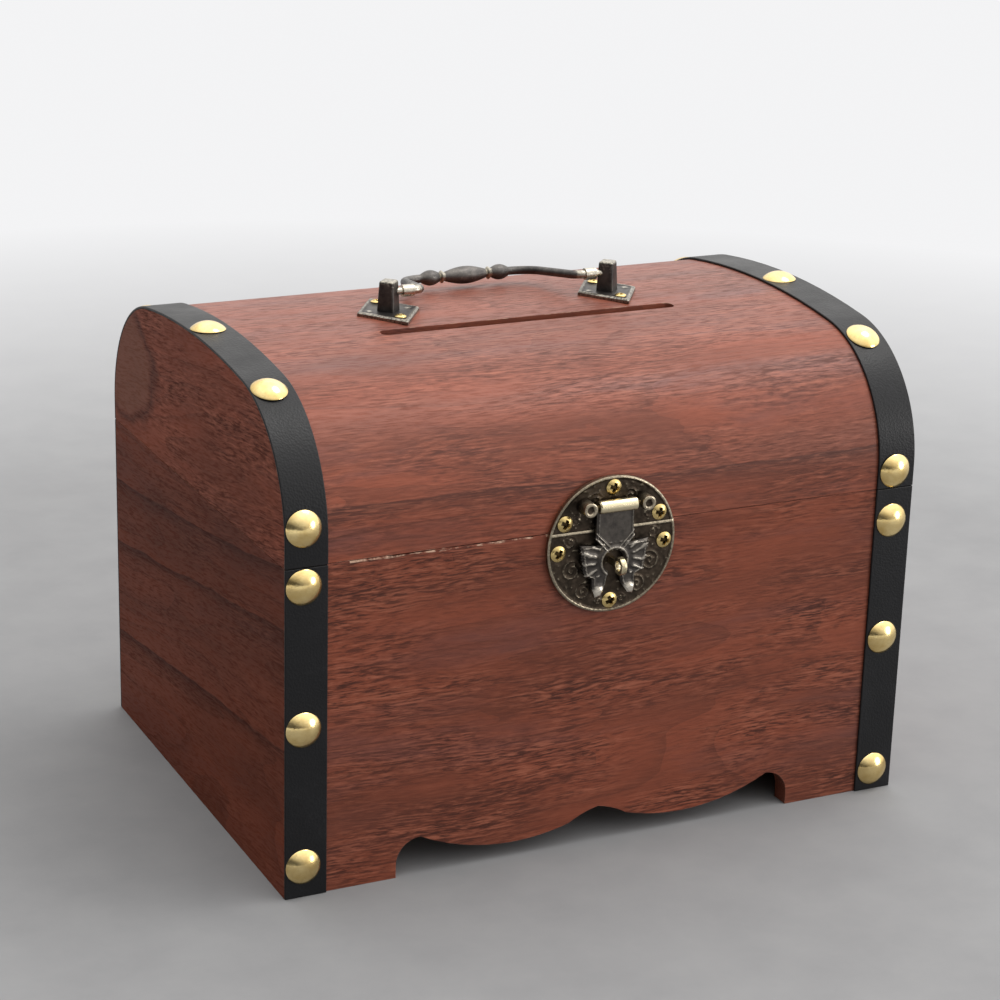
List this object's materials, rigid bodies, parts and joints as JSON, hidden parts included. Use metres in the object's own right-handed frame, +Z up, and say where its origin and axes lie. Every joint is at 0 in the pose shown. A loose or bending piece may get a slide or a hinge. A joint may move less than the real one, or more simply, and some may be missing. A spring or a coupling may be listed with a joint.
{
  "type": "wooden money box",
  "caption": "Chest-shaped wooden money box with an arched hinged lid, a coin slot, a hasp for a padlock, tacked straps and a swinging bail handle.",
  "frame": {"origin": "on the floor, in the middle of the whole box with its fittings", "axes": "+X along the box to the right as seen from the front, +Y to the back, +Z up"},
  "size_m": [0.2, 0.1598, 0.1544],
  "materials": {
    "stained_wood": "satin stained",
    "strap_leatherette": "satin",
    "tack_brass": "polished",
    "screw_brass": "polished",
    "antique_bronze": "antiqued",
    "hinge_bronze": "antiqued"
  },
  "bodies": {
    "base": {"left_side": "stained_wood", "right_side": "stained_wood", "front_panel": "stained_wood", "back_panel": "stained_wood", "bottom_panel": "stained_wood", "front_strap_left": "strap_leatherette", "front_strap_right": "strap_leatherette", "rear_strap_left": "strap_leatherette", "rear_strap_right": "strap_leatherette", "front_tacks": "tack_brass", "rear_tacks": "tack_brass", "latch_lower_plate": "antique_bronze", "latch_lower_screws": "screw_brass", "padlock_staple": "antique_bronze", "hinge_lower_leaf_left": "hinge_bronze", "hinge_lower_leaf_right": "hinge_bronze", "hinge_pin_left": "hinge_bronze", "hinge_pin_right": "hinge_bronze", "hinge_lower_screws": "hinge_bronze"},
    "lid": {"lid_left_end": "stained_wood", "lid_right_end": "stained_wood", "lid_shell": "stained_wood", "lid_strap_left": "strap_leatherette", "lid_strap_right": "strap_leatherette", "lid_tacks_left": "tack_brass", "lid_tacks_right": "tack_brass", "latch_upper_plate": "antique_bronze", "latch_upper_screws": "screw_brass", "hasp_pin": "antique_bronze", "handle_plate_left": "antique_bronze", "handle_plate_right": "antique_bronze", "handle_screws": "screw_brass", "hinge_upper_leaf_left": "hinge_bronze", "hinge_upper_leaf_right": "hinge_bronze", "hinge_upper_screws": "hinge_bronze"},
    "hasp": {"hasp_flap": "antique_bronze"},
    "handle": {"handle_bail": "antique_bronze"}
  },
  "joints": [
    {"name": "lid_hinge", "type": "hinge", "parent": "base", "child": "lid", "pos_m": [0, 0.07795, 0.098], "axis": [-1, 0, 0], "range_deg": [0, 110]},
    {"name": "hasp_swing", "type": "hinge", "parent": "lid", "child": "hasp", "pos_m": [-0.0015, -0.07425, 0.1053], "axis": [-1, 0, 0], "range_deg": [0, 165]},
    {"name": "handle_swing", "type": "hinge", "parent": "lid", "child": "handle", "pos_m": [-0.0015, 0.00515, 0.15078], "axis": [1, 0, 0], "range_deg": [0, 196]}
  ]
}
